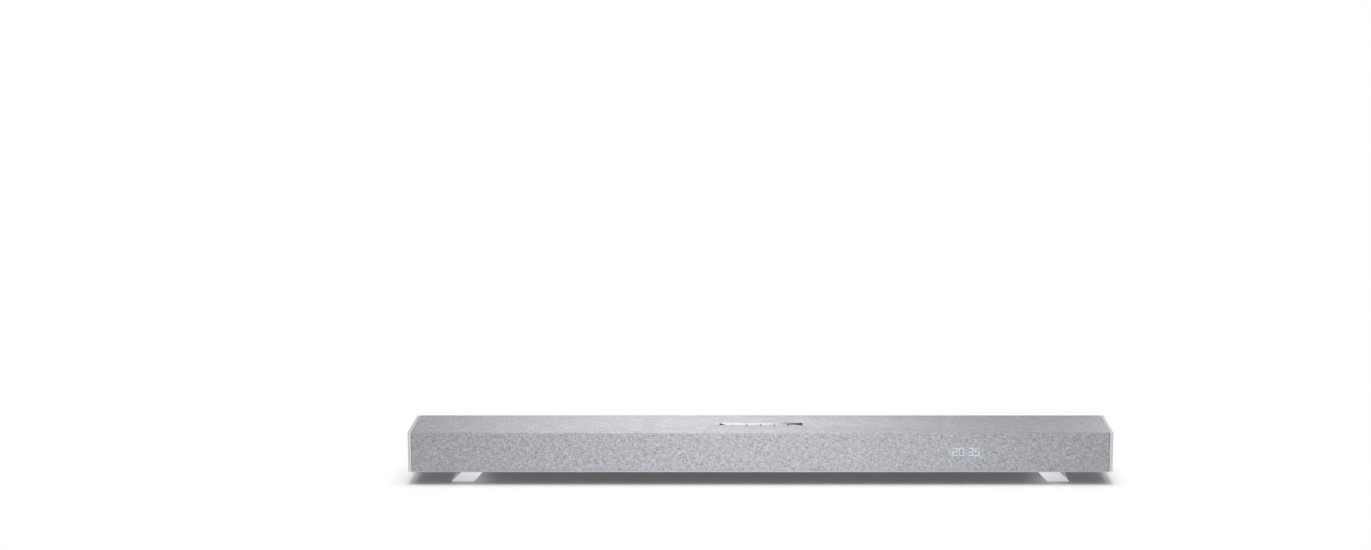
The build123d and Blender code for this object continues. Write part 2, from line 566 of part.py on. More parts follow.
def make_boards():
    """Main board, power supply, heatsink and radio."""
    main = block(-55, 135, -17, BAY_END - 2.2, BOARD_Z, BOARD_TOP)
    chips = ((-30, -6, 18, 18, 2), (0, -8, 12, 12, 1.5), (-10, 12, 8, 6, 1.2), (110, -5, 10, 10, 4))
    for x, y, w, d, h in chips:
        main += block(x - w / 2, x + w / 2, y - d / 2, y + d / 2, BOARD_TOP - 0.1, BOARD_TOP + h)
    for x in (128, 120):
        main += upright(x, 10, BOARD_TOP - 0.1, BOARD_TOP + 11, 3)
    main -= block(35, 89, -13.2, 15.2, BOARD_TOP, BOARD_TOP + 1)
    keep("main_board", main)
    sink = block(36, 88, -13, 15, BOARD_TOP, BOARD_TOP + 3)
    for i in range(11):
        x = 36 + i * 5
        sink += block(x, x + 2, -13, 15, BOARD_TOP + 2.5, BOARD_TOP + 18)
    keep("heatsink", sink)
    supply = block(-335, -185, -17, 32, BOARD_Z, BOARD_TOP)
    supply += block(-262, -232, -10, 16, BOARD_TOP - 0.1, BOARD_TOP + 24)
    supply += block(-222, -214, -12, 24, BOARD_TOP - 0.1, BOARD_TOP + 20)
    for x, y, r, h in ((-285, -2, 9, 26), (-203, -6, 5, 20), (-203, 8, 5, 20), (-303, 18, 4, 12)):
        supply += upright(x, y, BOARD_TOP - 0.1, BOARD_TOP + h, r)
    keep("power_supply_board", supply)
    radio = block(165, 200, -10, 14, BOARD_Z, BOARD_TOP)
    radio += block(169, 190, -7, 11, BOARD_TOP - 0.1, BOARD_TOP + 2.4)
    for x in (168, 197):
        radio += upright(x, 2, FLOOR_TOP, BOARD_Z + 0.1, 2)
    keep("wireless_module", radio)


def make_sockets():
    """The socket plate and what stands in it, and the mains inlet."""
    plate = block(BAY_X0 - 3, BAY_X1 + 3, BAY_END - 1.6, BAY_END - FIT_GAP, BAY_Z0 - 3, BAY_Z1 + 3)
    inner = BAY_END - 14
    outer = BAY_END + 0.8
    sockets = {
        "video_in_socket": (-14.0, 15.0, 6.0), "video_out_socket": (12.0, 15.0, 6.0),
        "optical_socket": (38.0, 10.0, 10.0), "service_socket": (62.0, 13.0, 6.5),
    }
    for name, (x, width, height) in sockets.items():
        body = block(x - width / 2, x + width / 2, inner if name != "service_socket" else inner + 4, outer,
                     BOARD_TOP, BOARD_TOP + height)
        mouth = block(x - width / 2 + 1, x + width / 2 - 1, outer - 8, outer + 1, BOARD_TOP + 1,
                      BOARD_TOP + height - 1)
        tongue = block(x - width / 2 + 2.5, x + width / 2 - 2.5, outer - 9, outer - 1,
                       BOARD_TOP + height / 2 - 0.5, BOARD_TOP + height / 2 + 0.5)
        plate -= block(x - width / 2 - 0.2, x + width / 2 + 0.2, inner, outer, BOARD_TOP - 0.2,
                       BOARD_TOP + height + 0.2)
        keep(name, body - mouth if name == "optical_socket" else body - mouth + tongue)
    aux_z = BOARD_TOP + 4.2
    aux = block(84, 93, inner, BAY_END - 1.8, BOARD_TOP, BOARD_TOP + 8.4)
    aux += along_y(88.5, aux_z, BAY_END - 2, outer, 3.4)
    aux -= along_y(88.5, aux_z, inner + 2, outer + 1, AUX_BORE_R)
    plate -= along_y(88.5, aux_z, inner, outer, 3.5)
    keep("aux_socket", aux)
    keep("socket_plate", plate)
    inlet = block(INLET_X - INLET_WIDTH / 2, INLET_X + INLET_WIDTH / 2, BACK - 18, BACK,
                  INLET_Z - INLET_HEIGHT / 2, INLET_Z + INLET_HEIGHT / 2)
    cavity = extrude(Pos(INLET_X, BACK - 12, INLET_Z) * Rot(-90, 0, 0) * SlotOverall(17, 9.5), 13)
    inlet -= cavity
    for x in (-4.3, 4.3):
        inlet += along_y(INLET_X + x, INLET_Z, BACK - 13, BACK - 3, 1.2)
    keep("mains_inlet", inlet)


def make_inserts_and_screws():
    """Brass wall-bracket inserts and the case screws."""
    inserts = []
    for side in (-1, 1):
        insert = along_y(side * INSERT_X, INSERT_Z, BACK - INSERT_LENGTH, BACK, INSERT_R)
        insert -= along_y(side * INSERT_X, INSERT_Z, BACK - INSERT_LENGTH + 1, BACK + 1, INSERT_BORE_R)
        inserts.append(insert)
    keep("wall_bracket_inserts", *inserts)
    screws = []
    spots = [(x, BOSS_FRONT_Y) for x in FRONT_BOSS_X] + [(x, BOSS_REAR_Y) for x in REAR_BOSS_X]
    for x, y in spots:
        head = upright(x, y, BOTTOM + 0.2, BOTTOM + SCREW_HEAD_THICK, SCREW_HEAD_R)
        head -= block(x - 2, x + 2, y - 0.4, y + 0.4, BOTTOM - 1, BOTTOM + 0.9)
        head -= block(x - 0.4, x + 0.4, y - 2, y + 2, BOTTOM - 1, BOTTOM + 0.9)
        screws.append(head + upright(x, y, BOTTOM + 1.2, FLOOR_TOP + 7, SCREW_R - 0.02))
    keep("case_screws", *screws)


def make_harness():
    """Speaker leads along the floor, and wadding behind the end drivers."""
    lead_r = 1.6
    leads = []
    for side in (-1, 1):
        start = side * 60 if side < 0 else 140
        route = FilletPolyline((start, -6, 29.5), (start + side * 16, -6, 29.5),
                               (start + side * 30, -22, 29.5), (side * 360, -22, 29.5),
                               (side * 372, -17.5, 42), (side * 396, -17.5, 45), radius=6)
        section = Plane(origin=route @ 0, z_dir=route % 0) * Circle(lead_r)
        leads.append(sweep(section, path=route))
    keep("speaker_harness", *leads)
    pads = [block(s * 420 - 34, s * 420 + 34, -8, 30, FLOOR_TOP + 3, 38) for s in (-1, 1)]
    keep("acoustic_wadding", *pads)


make_fabric_cover()
make_grille_frame()
make_bottom_chassis()
make_rear_panel()
keep("left_end_cap", make_end_cap(-1))
keep("right_end_cap", make_end_cap(1))
make_front_baffle()
make_top_baffle()
make_feet()
make_control_bezel()
make_keys()
make_control_board()
make_drivers()
make_display()
make_boards()
make_sockets()
make_inserts_and_screws()
make_harness()

os.makedirs("parts", exist_ok=True)
for node, shape in nodes.items():
    export_step(shape, "parts/" + node + ".step")
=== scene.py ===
"""The looks of a low cloth-covered soundbar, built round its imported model.

Metres, +Z up, the same frame as the model: the origin is on the floor under the
middle of the bar, +X runs along it and the front faces -Y.
"""

import json
import math

import bpy
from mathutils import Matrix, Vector

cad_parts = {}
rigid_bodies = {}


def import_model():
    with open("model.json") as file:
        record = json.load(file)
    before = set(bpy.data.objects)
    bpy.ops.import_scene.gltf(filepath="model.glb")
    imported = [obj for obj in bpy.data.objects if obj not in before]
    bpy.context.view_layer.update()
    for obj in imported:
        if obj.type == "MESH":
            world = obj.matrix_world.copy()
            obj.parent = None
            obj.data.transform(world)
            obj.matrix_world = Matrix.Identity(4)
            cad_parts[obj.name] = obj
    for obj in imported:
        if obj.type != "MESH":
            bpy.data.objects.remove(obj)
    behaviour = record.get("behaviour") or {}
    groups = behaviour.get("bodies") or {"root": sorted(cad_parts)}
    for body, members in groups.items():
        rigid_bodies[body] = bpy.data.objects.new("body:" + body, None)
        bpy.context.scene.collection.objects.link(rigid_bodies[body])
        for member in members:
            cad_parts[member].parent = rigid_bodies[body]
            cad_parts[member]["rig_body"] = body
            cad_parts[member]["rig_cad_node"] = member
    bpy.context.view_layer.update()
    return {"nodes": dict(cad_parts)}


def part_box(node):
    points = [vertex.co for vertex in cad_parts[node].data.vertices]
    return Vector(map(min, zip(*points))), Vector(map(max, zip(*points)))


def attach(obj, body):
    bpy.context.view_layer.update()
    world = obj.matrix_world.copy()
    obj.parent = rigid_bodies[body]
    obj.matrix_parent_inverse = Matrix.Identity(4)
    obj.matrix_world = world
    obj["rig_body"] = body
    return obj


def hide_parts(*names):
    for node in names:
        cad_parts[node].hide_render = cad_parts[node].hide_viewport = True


MM = 0.001
HOUSING = "housing"
KEYS = ("power", "source", "volume_down", "volume_up", "play", "pairing")
SMOOTH_ANGLE = math.radians(35)

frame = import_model()
nodes = frame["nodes"]
scene = bpy.context.scene


# ---------------------------------------------------------------- modelling helpers


def deselect():
    bpy.ops.object.select_all(action="DESELECT")


def activate(piece):
    deselect()
    piece.select_set(True)
    bpy.context.view_layer.objects.active = piece


def place(piece):
    """Puts the object's place, turn and scale into its mesh."""
    activate(piece)
    bpy.ops.object.transform_apply(location=True, rotation=True, scale=True)


def add_block(name, low, high):
    """A box between two corners, ready to be shaped."""
    deselect()
    low, high = Vector(low), Vector(high)
    bpy.ops.mesh.primitive_cube_add(size=1, location=(low + high) / 2)
    piece = bpy.context.object
    piece.name = name
    piece.scale = high - low
    place(piece)
    return piece


def pick(piece, mode, test):
    """Opens the piece in edit mode with what passes the test selected.

    The test is given a face's middle and normal, an edge's middle and direction, or a
    vertex's place and normal.
    """
    activate(piece)
    bpy.ops.object.mode_set(mode="EDIT")
    bpy.ops.mesh.select_mode(type=mode)
    bpy.ops.mesh.select_all(action="DESELECT")
    bpy.ops.object.mode_set(mode="OBJECT")
    mesh = piece.data
    if mode == "FACE":
        for face in mesh.polygons:
            face.select = bool(test(face.center, face.normal))
    elif mode == "EDGE":
        for edge in mesh.edges:
            a, b = (mesh.vertices[i].co for i in edge.vertices)
            edge.select = bool(test((a + b) / 2, (b - a).normalized()))
    else:
        for vertex in mesh.vertices:
            vertex.select = bool(test(vertex.co, vertex.normal))
    bpy.ops.object.mode_set(mode="EDIT")


def leave():
    """Goes back to object mode."""
    bpy.ops.object.mode_set(mode="OBJECT")


def add_modifier(piece, kind, **settings):
    """Adds a modifier and applies it."""
    activate(piece)
    modifier = piece.modifiers.new(kind.lower(), kind)
    for key, value in settings.items():
        setattr(modifier, key, value)
    bpy.ops.object.modifier_apply(modifier=modifier.name)


def smooth_shading(piece):
    """Shades smooth across all but the sharper edges."""
    activate(piece)
    bpy.ops.object.shade_smooth_by_angle(angle=SMOOTH_ANGLE)


def round_edges(piece, width, segments, angle=40):
    """Rounds every edge sharper than the angle, in degrees."""
    add_modifier(piece, "BEVEL", width=width, segments=segments, limit_method="ANGLE",
                 angle_limit=math.radians(angle))


def soften(piece, width, segments=3, angle=40):
    """Rounds every edge sharper than the angle, then smooths the shading."""
    round_edges(piece, width, segments, angle)
    smooth_shading(piece)


def cut(piece, *cutters):
    """Takes the cutters out of the piece and throws them away."""
    for cutter in cutters:
        add_modifier(piece, "BOOLEAN", operation="DIFFERENCE", object=cutter, solver="EXACT")
        bpy.data.objects.remove(cutter)


def side_name(side):
    return "left" if side < 0 else "right"


def dress(piece, material):
    """Gives a piece its only material."""
    piece.data.materials.clear()
    piece.data.materials.append(material)


def mount(piece, material, slot, *stands_for, body=HOUSING):
    """Gives a finished piece its material, its body and the nodes that it stands for."""
    dress(piece, material)
    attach(piece, body)
    if stands_for:
        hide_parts(*stands_for)


# ---------------------------------------------------------------- material helpers


def new_material(name):
    """A material, its node tree and its shader."""
    material = bpy.data.materials.new(name)
    material.use_nodes = True
    tree = material.node_tree
    return material, tree, tree.nodes["Principled BSDF"]


def add_node(tree, kind, operation=None, **values):
    """A shader node with its sockets set, each from a value or from another socket.

    A key is the socket's name with _ for spaces, or a letter and the socket's number.
    """
    made = tree.nodes.new("ShaderNode" + kind)
    if operation:
        made.operation = operation
    for key, value in values.items():
        socket = made.inputs[int(key[1:]) if key[1:].isdigit() else key.replace("_", " ")]
        if isinstance(value, bpy.types.NodeSocket):
            tree.links.new(value, socket)
        else:
            socket.default_value = value
    return made


def math_node(tree, operation, *values):
    """The result of a math node."""
    made = add_node(tree, "Math", operation, **{f"i{i}": v for i, v in enumerate(values)})
    return made.outputs[0]


def ramp(tree, factor, *stops):
    """A colour ramp from (place, colour) stops."""
    made = add_node(tree, "ValToRGB", i0=factor)
    while len(made.color_ramp.elements) < len(stops):
        made.color_ramp.elements.new(0.5)
    for element, (where, colour) in zip(made.color_ramp.elements, stops):
        element.position = where
        element.color = (*colour, 1)
    return made.outputs[0]


def shades(colour, *levels):
    """The colour made darker or lighter by each level."""
    return [tuple(c * level for c in colour) for level in levels]


def object_place(tree, stretch=(1, 1, 1)):
    """Object coordinates in metres, stretched along each axis."""
    source = add_node(tree, "TexCoord")
    mapping = add_node(tree, "Mapping", i0=source.outputs["Object"])
    mapping.inputs["Scale"].default_value = stretch
    return mapping.outputs[0]


def bump(tree, shader, height, strength, distance):
    """Raises the surface a little where the height is great."""
    made = add_node(tree, "Bump", Height=height, Strength=strength, Distance=distance)
    tree.links.new(made.outputs[0], shader.inputs["Normal"])


def grained(name, colour, roughness, metallic=0.0, grain=900.0, depth=0.00006, spread=0.05,
            stretch=(1, 1, 1), contrast=0.08, coat=0.0):
    """A moulded, cast or coated finish with a fine grain, faint mottling and uneven gloss."""
    material, tree, shader = new_material(name)
    fine = add_node(tree, "TexNoise", Vector=object_place(tree, stretch), Scale=grain, Detail=3.0)
    broad = add_node(tree, "TexNoise", Vector=object_place(tree), Scale=18.0, Detail=4.0)
    both = math_node(tree, "ADD", math_node(tree, "MULTIPLY", fine.outputs[0], 0.6),
                     math_node(tree, "MULTIPLY", broad.outputs[0], 0.4))
    dark, light = shades(colour, 1 - contrast, 1 + contrast)
    tree.links.new(ramp(tree, both, (0.35, dark), (0.65, light)), shader.inputs["Base Color"])
    gloss = add_node(tree, "MapRange", Value=both)
    gloss.inputs["To Min"].default_value = roughness - spread
    gloss.inputs["To Max"].default_value = roughness + spread
    tree.links.new(gloss.outputs[0], shader.inputs["Roughness"])
    shader.inputs["Metallic"].default_value = metallic
    shader.inputs["Coat Weight"].default_value = coat
    bump(tree, shader, fine.outputs[0], 0.5, depth)
    return material


# ---------------------------------------------------------------- finishes

# Pitch of the cloth's threads, and how far one thread's tone runs
THREAD = 0.00105
SLUB_LENGTH = 0.007
RIDGE_HEIGHT = 0.00022

# How far below the cloth's top its face turns from the front's tone to the deck's
TURN_STARTS, TURN_ENDS = 2.4 * MM, 0.5 * MM

CLOTH_TONES = (
    (0.22, (0.175, 0.182, 0.196)),
    (0.42, (0.318, 0.328, 0.348)),
    (0.58, (0.440, 0.452, 0.476)),
    (0.80, (0.640, 0.652, 0.680)),
)


def woven_cloth():
    """Heathered plain weave: slubby threads both ways, each with its own tone."""
    material, tree, shader = new_material("heathered_cloth")
    source = add_node(tree, "TexCoord")
    parts = add_node(tree, "SeparateXYZ", Vector=source.outputs["Object"])
    across = parts.outputs[0]
    around = math_node(tree, "ADD", parts.outputs[1], parts.outputs[2])

    def streaks(side, run, width, length, seed):
        """Noise drawn out along the thread."""
        vector = add_node(tree, "CombineXYZ", X=math_node(tree, "DIVIDE", side, width),
                          Y=math_node(tree, "DIVIDE", run, length), Z=seed)
        noise = add_node(tree, "TexNoise", Vector=vector.outputs[0], Scale=1.0, Detail=1.0)
        return noise.outputs[0]

    def thread(side, run, seed):
        """One tone for each thread, changing slowly along it."""
        lane = math_node(tree, "SNAP", side, THREAD)
        return streaks(lane, run, THREAD * 0.37, SLUB_LENGTH, seed)

    flat = add_node(tree, "CombineXYZ", X=across, Y=around)
    over = add_node(tree, "TexChecker", Vector=flat.outputs[0], Scale=1 / THREAD).outputs[1]
    fine = add_node(tree, "Mix", Factor=over)
    tree.links.new(thread(across, around, 3.0), fine.inputs[2])
    tree.links.new(thread(around, across, 5.0), fine.inputs[3])
    top_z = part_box("fabric_cover")[1].z
    deck = add_node(tree, "MapRange", Value=parts.outputs[2]).outputs[0]
    deck.node.inputs["From Min"].default_value = top_z - TURN_STARTS
    deck.node.inputs["From Max"].default_value = top_z - TURN_ENDS
    # Threads and slubs, each with its weight on the front and on the deck
    layers = (
        (fine.outputs[0], 0.62, 0.52),
        (streaks(across, around, 0.0013, 0.0060, 21.0), 0.47, 0.32),
        (streaks(around, across, 0.0013, 0.0062, 34.0), 0.47, 0.42),
        (streaks(around, across, 0.0050, 0.0240, 55.0), 0.10, 0.24),
    )
    level = 0.5
    for layer, on_front, on_deck in layers:
        weight = math_node(tree, "MULTIPLY_ADD", deck, on_deck - on_front, on_front)
        swing = math_node(tree, "SUBTRACT", layer, 0.5)
        level = math_node(tree, "MULTIPLY_ADD", swing, weight, level)
    tree.links.new(ramp(tree, level, *CLOTH_TONES), shader.inputs["Base Color"])
    shader.inputs["Roughness"].default_value = 0.86
    shader.inputs["Sheen Weight"].default_value = 0.12
    shader.inputs["Sheen Roughness"].default_value = 0.4
    shader.inputs["Specular IOR Level"].default_value = 0.2
    ridges = add_node(tree, "Mix", Factor=over)
    for position, run in ((2, across), (3, around)):
        wave = math_node(tree, "SINE", math_node(tree, "MULTIPLY", run, math.pi / THREAD))
        tree.links.new(math_node(tree, "ABSOLUTE", wave), ridges.inputs[position])
    raised = math_node(tree, "ADD", ridges.outputs[0], math_node(tree, "MULTIPLY", level, 0.8))
    bump(tree, shader, raised, 0.5, RIDGE_HEIGHT)
    return material


def polished_metal():
    """Bright plated metal with faint polishing lines."""
    material, tree, shader = new_material("polished_frame")
    where = object_place(tree, (40, 900, 900))
    lines = add_node(tree, "TexNoise", Vector=where, Scale=1.0, Detail=2.0)
    tint = ramp(tree, lines.outputs[0], (0.3, (0.82, 0.83, 0.85)), (0.7, (0.90, 0.905, 0.92)))
    tree.links.new(tint, shader.inputs["Base Color"])
    gloss = add_node(tree, "MapRange", Value=lines.outputs[0])
    gloss.inputs["To Min"].default_value = 0.07
    gloss.inputs["To Max"].default_value = 0.10
    tree.links.new(gloss.outputs[0], shader.inputs["Roughness"])
    shader.inputs["Metallic"].default_value = 1.0
    return material


def glowing_marks():
    """Pale light that comes through the cloth, broken up by its threads."""
    material, tree, shader = new_material("glowing_marks")
    where = object_place(tree)
    threads = add_node(tree, "TexNoise", Vector=where, Scale=750.0, Detail=2.0)
    colour = ramp(tree, threads.outputs[0],
                  (0.36, (0.36, 0.39, 0.46)), (0.62, (0.62, 0.67, 0.78)))
    tree.links.new(colour, shader.inputs["Base Color"])
    tree.links.new(colour, shader.inputs["Emission Color"])
    shader.inputs["Emission Strength"].default_value = 0.22
    shader.inputs["Roughness"].default_value = 0.7
    return material


cloth = woven_cloth()
satin_silver = grained("satin_silver", (0.60, 0.61, 0.635), 0.42, 0.05, grain=1400,
                       depth=0.00002, contrast=0.03, stretch=(1, 0.06, 1))
foot_silver = grained("foot_silver", (0.90, 0.905, 0.925), 0.4, grain=1300,
                      depth=0.00002, contrast=0.03)
key_silver = grained("key_silver", (0.36, 0.37, 0.395), 0.75, grain=1600,
                     depth=0.00002, contrast=0.04)
polished = polished_metal()
glow = glowing_marks()

# Finishes of the model's own pieces: name, colour, roughness and what else differs
PLAIN_FINISHES = (
    ("case_grey", (0.155, 0.16, 0.17), 0.55, dict(grain=1500, depth=0.00008, contrast=0.10)),
    ("carrier_silver", (0.45, 0.46, 0.48), 0.5, dict(contrast=0.04)),
    ("black_moulding", (0.018, 0.018, 0.02), 0.42, dict(contrast=0.2)),
    ("soft_rubber", (0.022, 0.022, 0.024), 0.78, dict(grain=600, depth=0.0001, contrast=0.25)),
    ("board_green", (0.02, 0.11, 0.05), 0.35, dict(grain=700, contrast=0.2, coat=0.3)),
    ("ribbon_film", (0.55, 0.50, 0.36), 0.3, dict(grain=400, contrast=0.15, stretch=(6, 1, 0.1))),
    ("pressed_steel", (0.03, 0.03, 0.033), 0.38, dict(metallic=0.3, contrast=0.15)),
    ("magnet_iron", (0.06, 0.06, 0.065), 0.5, dict(metallic=0.6, grain=500, contrast=0.2)),
    ("cone_paper", (0.035, 0.034, 0.036), 0.8, dict(grain=320, depth=0.0003, contrast=0.3)),
    ("tweeter_silk", (0.03, 0.03, 0.034), 0.6, dict(grain=1100, depth=0.0001, contrast=0.25)),
    ("smoked_window", (0.10, 0.105, 0.115), 0.25, dict(grain=700, contrast=0.1)),
    ("heatsink_metal", (0.42, 0.43, 0.45), 0.38,
     dict(metallic=0.9, stretch=(1, 0.05, 1), contrast=0.08)),
    ("wadding", (0.62, 0.62, 0.60), 0.95, dict(grain=160, depth=0.001, contrast=0.2)),
    ("zinc_plate", (0.46, 0.46, 0.48), 0.34, dict(metallic=0.95, grain=800, contrast=0.12)),
    ("turned_brass", (0.58, 0.42, 0.16), 0.3,
     dict(metallic=1.0, grain=900, stretch=(1, 12, 1), contrast=0.12)),
)
for finish_name, colour, roughness, rest in PLAIN_FINISHES:
    grained(finish_name, colour, roughness, **rest)

NODE_FINISHES = {
    "carrier_silver": ("grille_frame",),
    "case_grey": ("bottom_chassis", "rear_panel"),
    "black_moulding": ("front_baffle", "top_baffle", "socket_plate", "video_in_socket",
                       "video_out_socket", "optical_socket", "service_socket", "aux_socket",
                       "mains_inlet", "tact_switches", "infrared_receiver", "display_module"),
    "soft_rubber": ("foot_gaskets", "foot_pads", "key_mat", "front_surrounds", "up_surrounds",
                    "speaker_harness"),
    "board_green": ("control_board", "display_board", "main_board", "power_supply_board",
                    "wireless_module"),
    "ribbon_film": ("control_ribbon",),
    "pressed_steel": tuple(n for n in nodes if n.endswith("_driver_frame")),
    "magnet_iron": ("front_magnets", "up_magnets"),
    "cone_paper": tuple(n for n in nodes if n.endswith("_cone")),
    "tweeter_silk": ("left_tweeter", "right_tweeter"),
    "smoked_window": ("display_window",),
    "heatsink_metal": ("heatsink",),
    "wadding": ("acoustic_wadding",),
    "zinc_plate": ("case_screws", "foot_screws"),
    "turned_brass": ("wall_bracket_inserts",),
}
for finish_name, names in NODE_FINISHES.items():
    for node_name in names:
        dress(nodes[node_name], bpy.data.materials[finish_name])


# ---------------------------------------------------------------- cloth

CLOTH_THICKNESS = 1 * MM
CLOTH_BEND = 2.0 * MM       # over the front's upper edge
KEY_SURROUND = 1.5 * MM     # from the outer keys to the strip's edge
HOLE_PLAY = 0.1 * MM
HOLE_CORNER = 1.6 * MM
HOLE_REACH = 0.01


def strip_edges():
    """Two corners of the control strip: the keys' own box and what surrounds it."""
    first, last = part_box("power_key"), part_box("pairing_key")
    return (Vector((first[0].x - KEY_SURROUND, first[0].y - KEY_SURROUND, first[0].z)),
            Vector((last[1].x + KEY_SURROUND, last[1].y + KEY_SURROUND, last[1].z)))


def strip_cutter(low, high):
    """An upright block with the outline of the control strip, its corners rounded."""
    strip_low, strip_high = strip_edges()
    block = add_block("strip_cutter", (strip_low.x - HOLE_PLAY, strip_low.y - HOLE_PLAY, low),
                      (strip_high.x + HOLE_PLAY, strip_high.y + HOLE_PLAY, high))
    pick(block, "EDGE", lambda middle, along: abs(along.z) > 0.9)
    bpy.ops.mesh.bevel(offset=HOLE_CORNER, segments=6)
    leave()
    return block


def cloth_cover():
    """One stretched sheet over the front and the top, with a hole cut for the control strip."""
    low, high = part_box("fabric_cover")
    sheet = add_block("cloth_cover", low, high)
    pick(sheet, "FACE",
         lambda middle, normal: abs(normal.x) > 0.5 or normal.y > 0.5 or normal.z < -0.5)
    bpy.ops.mesh.delete(type="FACE")
    leave()
    pick(sheet, "EDGE",
         lambda middle, along: (abs(along.x) > 0.9 and middle.z > high.z - MM
                                and middle.y < low.y + MM))
    bpy.ops.mesh.bevel(offset=CLOTH_BEND, segments=8)
    leave()
    add_modifier(sheet, "SOLIDIFY", thickness=CLOTH_THICKNESS, offset=-1)
    cut(sheet, strip_cutter(high.z - HOLE_REACH, high.z + HOLE_REACH))
    soften(sheet, 0.3 * MM, 3)
    mount(sheet, cloth, "cover_fabric", "fabric_cover")


# ---------------------------------------------------------------- end caps

CAP_THICKNESS = 4.7 * MM
CAP_CORNER = 2.2 * MM
OUTER_RIM, INNER_RIM = 0.6 * MM, 0.3 * MM
DISH_DEPTH = 0.25 * MM


def end_cap(side):
    """A satin plate: rounded corners, a rolled outer rim and a shallow dished face."""
    node = side_name(side) + "_end_cap"
    low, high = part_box(node)
    outer = side * max(abs(low.x), abs(high.x))
    inner = outer - side * CAP_THICKNESS
    cap = add_block(side_name(side) + "_cap", (min(outer, inner), low.y, low.z),
                    (max(outer, inner), high.y, high.z))

    def edge_at(x):
        """A test for the edges that run round the cap at this place."""
        return lambda middle, along: abs(middle.x - x) < 0.01 * MM and abs(along.x) < 0.1

    pick(cap, "EDGE", lambda middle, along: abs(along.x) > 0.9)
    bpy.ops.mesh.bevel(offset=CAP_CORNER, segments=8)
    leave()
    pick(cap, "EDGE", edge_at(outer))
    bpy.ops.mesh.bevel(offset=OUTER_RIM, segments=4)
    leave()
    pick(cap, "FACE", lambda middle, normal: normal.x * side > 0.99)
    bpy.ops.mesh.inset(thickness=0.4 * MM, depth=0)
    bpy.ops.mesh.inset(thickness=0.2 * MM, depth=-DISH_DEPTH)
    leave()
    pick(cap, "EDGE", edge_at(inner))
    bpy.ops.mesh.bevel(offset=INNER_RIM, segments=2)
    leave()
    smooth_shading(cap)
    mount(cap, satin_silver, "satin_silver", node)


# ---------------------------------------------------------------- feet

FOOT_WIDTH = 31.5 * MM
WELL_RADIUS = 3.1 * MM
SCREW_FROM_END = 6 * MM
SCREW_FROM_EDGE = 7.7 * MM  # from the inner edge of the foot's sole
WELL_TOP = 12 * MM          # above the floor


def sled_foot(side):
    """A leaning solid sled with two wells for screw heads, open at its sole."""
    node = side_name(side) + "_foot"
    low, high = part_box(node)
    foot = add_block(side_name(side) + "_sled", (-FOOT_WIDTH / 2, low.y, low.z),
                     (FOOT_WIDTH / 2, high.y, high.z))
    lean = high.x - low.x - FOOT_WIDTH
    base = side * (max(abs(low.x), abs(high.x)) - FOOT_WIDTH / 2)
    slope = lean / (high.z - low.z)
    for vertex in foot.data.vertices:
        vertex.co.x += base - side * slope * (vertex.co.z - low.z)
    well_x = side * (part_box("right_foot")[1].x - FOOT_WIDTH + SCREW_FROM_EDGE)
    wells = []
    for y in (low.y + SCREW_FROM_END, high.y - SCREW_FROM_END):
        deselect()
        bpy.ops.mesh.primitive_cylinder_add(radius=WELL_RADIUS, depth=2 * WELL_TOP, vertices=40,
                                            location=(well_x, y, 0))
        wells.append(bpy.context.object)
        place(wells[-1])
    cut(foot, *wells)
    soften(foot, 0.25 * MM, 3, angle=35)
    mount(foot, foot_silver, "foot_metal", node)


# ---------------------------------------------------------------- control strip

FRAME_WALL = 1.2 * MM
FRAME_CORNER = 1.5 * MM
KEY_PLAY = 0.3 * MM
SLOPE_RUN = 0.94 * MM

# Measured down from the cloth's top
FRAME_SINK, RIB_SINK, LIP_SINK = 0.05 * MM, 0.6 * MM, 0.5 * MM
FRAME_DEPTH, SLOPE_DEPTH, OPENING_DEPTH = 6 * MM, 2.6 * MM, 20 * MM

KEY_DROP = 2.2 * MM         # the back edge lies this far below the front one
DISH_REACH = 2 * MM         # only the face this near the key's middle is dished


def key_frame():
    """The polished frame: a leaning back wall, thin sunk ribs and a low front lip."""
    low, high = strip_edges()
    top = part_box("fabric_cover")[1].z
    rim = add_block("key_frame", (low.x, low.y, top - FRAME_DEPTH),
                    (high.x, high.y, top - FRAME_SINK))
    pick(rim, "EDGE", lambda middle, along: abs(along.z) > 0.9)
    bpy.ops.mesh.bevel(offset=FRAME_CORNER, segments=6)
    leave()
    openings = []
    for name in KEYS:
        key_low, key_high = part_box(name + "_key")
        openings.append(add_block(
            "opening", (key_low.x - KEY_PLAY, low.y + FRAME_WALL, top - OPENING_DEPTH),
            (key_high.x + KEY_PLAY, high.y - FRAME_WALL, top + MM)))
    ribs_down = add_block("ribs_down", (low.x + FRAME_WALL, low.y + FRAME_WALL, top - RIB_SINK),
                          (high.x - FRAME_WALL, high.y - FRAME_WALL, top + MM))
    lip_down = add_block("lip_down", (low.x - MM, low.y - MM, top - LIP_SINK),
                         (high.x + MM, low.y + FRAME_WALL + 0.01 * MM, top + MM))
    slope = add_block("slope", (low.x + FRAME_WALL, high.y - FRAME_WALL - MM, top - SLOPE_DEPTH),
                      (high.x - FRAME_WALL, high.y - FRAME_WALL, top + 0.1 * MM))
    for vertex in slope.data.vertices:
        if vertex.co.z > top and vertex.co.y > high.y - FRAME_WALL - 0.5 * MM:
            vertex.co.y += SLOPE_RUN
    cut(rim, *openings, ribs_down, lip_down, slope)
    round_edges(rim, 0.1 * MM, 2)
    mount(rim, polished, "bezel_metal", "control_bezel")


